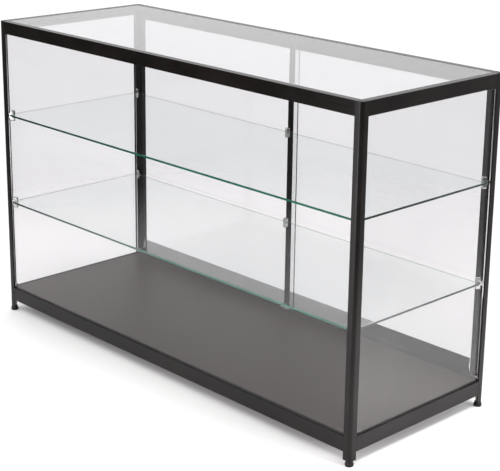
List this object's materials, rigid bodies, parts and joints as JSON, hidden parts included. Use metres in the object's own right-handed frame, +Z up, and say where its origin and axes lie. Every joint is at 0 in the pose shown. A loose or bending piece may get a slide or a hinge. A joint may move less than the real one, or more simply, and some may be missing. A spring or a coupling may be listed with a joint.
{
  "type": "glass display showcase",
  "caption": "Rectangular retail display counter with a black aluminium frame, glass panes and top, glass shelves on clips, a dark deck and sliding glass doors at the back.",
  "frame": {"origin": "on the floor, under the middle of the case", "axes": "+X along the length, customer's side facing -Y, sliding doors at +Y, +Z up"},
  "size_m": [1.5046, 0.5544, 0.948],
  "materials": {
    "black_aluminium": "black anodised, satin",
    "clear_glass": "clear float glass, polished edges",
    "shelf_glass": "clear tempered glass with green edges",
    "deck_laminate": "particle board with a black satin laminate",
    "chrome": "bright chrome plate",
    "rubber": "black, matte",
    "nylon": "natural nylon",
    "pull_plastic": "brown-grey, satin",
    "clear_plastic": "translucent, smooth",
    "foot_plastic": "black, satin"
  },
  "bodies": {
    "case": {"post_front_left": "black_aluminium", "post_front_right": "black_aluminium", "post_rear_left": "black_aluminium", "post_rear_right": "black_aluminium", "top_rail_front": "black_aluminium", "bottom_rail_front": "black_aluminium", "top_rail_left": "black_aluminium", "bottom_rail_left": "black_aluminium", "top_rail_right": "black_aluminium", "bottom_rail_right": "black_aluminium", "top_rail_rear": "black_aluminium", "bottom_rail_rear": "black_aluminium", "rear_mullion": "black_aluminium", "door_track_lower": "black_aluminium", "door_track_upper": "black_aluminium", "jamb_left": "black_aluminium", "jamb_right": "black_aluminium", "glass_top": "clear_glass", "glass_front": "clear_glass", "glass_left": "clear_glass", "glass_right": "clear_glass", "deck_panel": "deck_laminate", "seal_front": "rubber", "seal_left": "rubber", "seal_right": "rubber", "deck_clip_front_left": "chrome", "deck_clip_front_right": "chrome", "deck_clip_rear_left": "chrome", "deck_clip_rear_right": "chrome", "deck_clip_mullion": "chrome"},
    "door_left": {"door_left_glass": "clear_glass", "door_left_shoe": "black_aluminium", "door_left_pull": "pull_plastic", "door_left_bumper": "clear_plastic"},
    "door_right": {"door_right_glass": "clear_glass", "door_right_shoe": "black_aluminium", "door_right_pull": "pull_plastic", "door_right_bumper": "clear_plastic", "lock_plate": "black_aluminium"},
    "lock": {"lock_plug": "chrome"},
    "shelf_upper_set": {"shelf_upper": "shelf_glass", "clip_upper_front_left": "chrome", "clip_upper_front_right": "chrome", "clip_upper_rear_left": "chrome", "clip_upper_rear_right": "chrome", "clip_upper_mullion": "chrome"},
    "shelf_lower_set": {"shelf_lower": "shelf_glass", "clip_lower_front_left": "chrome", "clip_lower_front_right": "chrome", "clip_lower_rear_left": "chrome", "clip_lower_rear_right": "chrome", "clip_lower_mullion": "chrome"},
    "leg_front_left": {"foot_front_left": "foot_plastic"},
    "leg_front_right": {"foot_front_right": "foot_plastic"},
    "leg_rear_left": {"foot_rear_left": "foot_plastic"},
    "leg_rear_right": {"foot_rear_right": "foot_plastic"},
    "roller_left_outer": {"door_left_roller_outer": "nylon"},
    "roller_left_inner": {"door_left_roller_inner": "nylon"},
    "roller_right_outer": {"door_right_roller_outer": "nylon"},
    "roller_right_inner": {"door_right_roller_inner": "nylon"}
  },
  "joints": [
    {"name": "door_left_slide", "type": "slide", "parent": "case", "child": "door_left", "axis": [1, 0, 0], "range_m": [0, 0.66]},
    {"name": "door_right_slide", "type": "slide", "parent": "case", "child": "door_right", "axis": [1, 0, 0], "range_m": [-0.66, 0]},
    {"name": "roller_left_outer_spin", "type": "hinge", "parent": "door_left", "child": "roller_left_outer", "pos_m": [-0.6392, 0.2602, 0.0876], "axis": [0, 1, 0], "continuous": true},
    {"name": "roller_left_inner_spin", "type": "hinge", "parent": "door_left", "child": "roller_left_inner", "pos_m": [-0.04, 0.2602, 0.0876], "axis": [0, 1, 0], "continuous": true},
    {"name": "roller_right_outer_spin", "type": "hinge", "parent": "door_right", "child": "roller_right_outer", "pos_m": [0.6392, 0.2684, 0.0876], "axis": [0, 1, 0], "continuous": true},
    {"name": "roller_right_inner_spin", "type": "hinge", "parent": "door_right", "child": "roller_right_inner", "pos_m": [0.04, 0.2684, 0.0876], "axis": [0, 1, 0], "continuous": true},
    {"name": "shelf_upper_height", "type": "slide", "parent": "case", "child": "shelf_upper_set", "axis": [0, 0, 1], "range_m": [-0.1, 0.15]},
    {"name": "shelf_lower_height", "type": "slide", "parent": "case", "child": "shelf_lower_set", "axis": [0, 0, 1], "range_m": [-0.15, 0.1]},
    {"name": "leg_front_left_height", "type": "slide", "parent": "case", "child": "leg_front_left", "axis": [0, 0, 1], "range_m": [-0.012, 0]},
    {"name": "leg_front_right_height", "type": "slide", "parent": "case", "child": "leg_front_right", "axis": [0, 0, 1], "range_m": [-0.012, 0]},
    {"name": "leg_rear_left_height", "type": "slide", "parent": "case", "child": "leg_rear_left", "axis": [0, 0, 1], "range_m": [-0.012, 0]},
    {"name": "leg_rear_right_height", "type": "slide", "parent": "case", "child": "leg_rear_right", "axis": [0, 0, 1], "range_m": [-0.012, 0]},
    {"name": "lock_turn", "type": "hinge", "parent": "door_right", "child": "lock", "pos_m": [-0.003, 0.2747, 0.11], "axis": [0, 1, 0], "range_deg": [0, 90]}
  ],
  "couplings": [
    {"joint": "roller_left_outer_spin", "follows": "door_left_slide", "rad_per_m": 181.82},
    {"joint": "roller_left_inner_spin", "follows": "door_left_slide", "rad_per_m": 181.82},
    {"joint": "roller_right_outer_spin", "follows": "door_right_slide", "rad_per_m": 181.82},
    {"joint": "roller_right_inner_spin", "follows": "door_right_slide", "rad_per_m": 181.82}
  ]
}
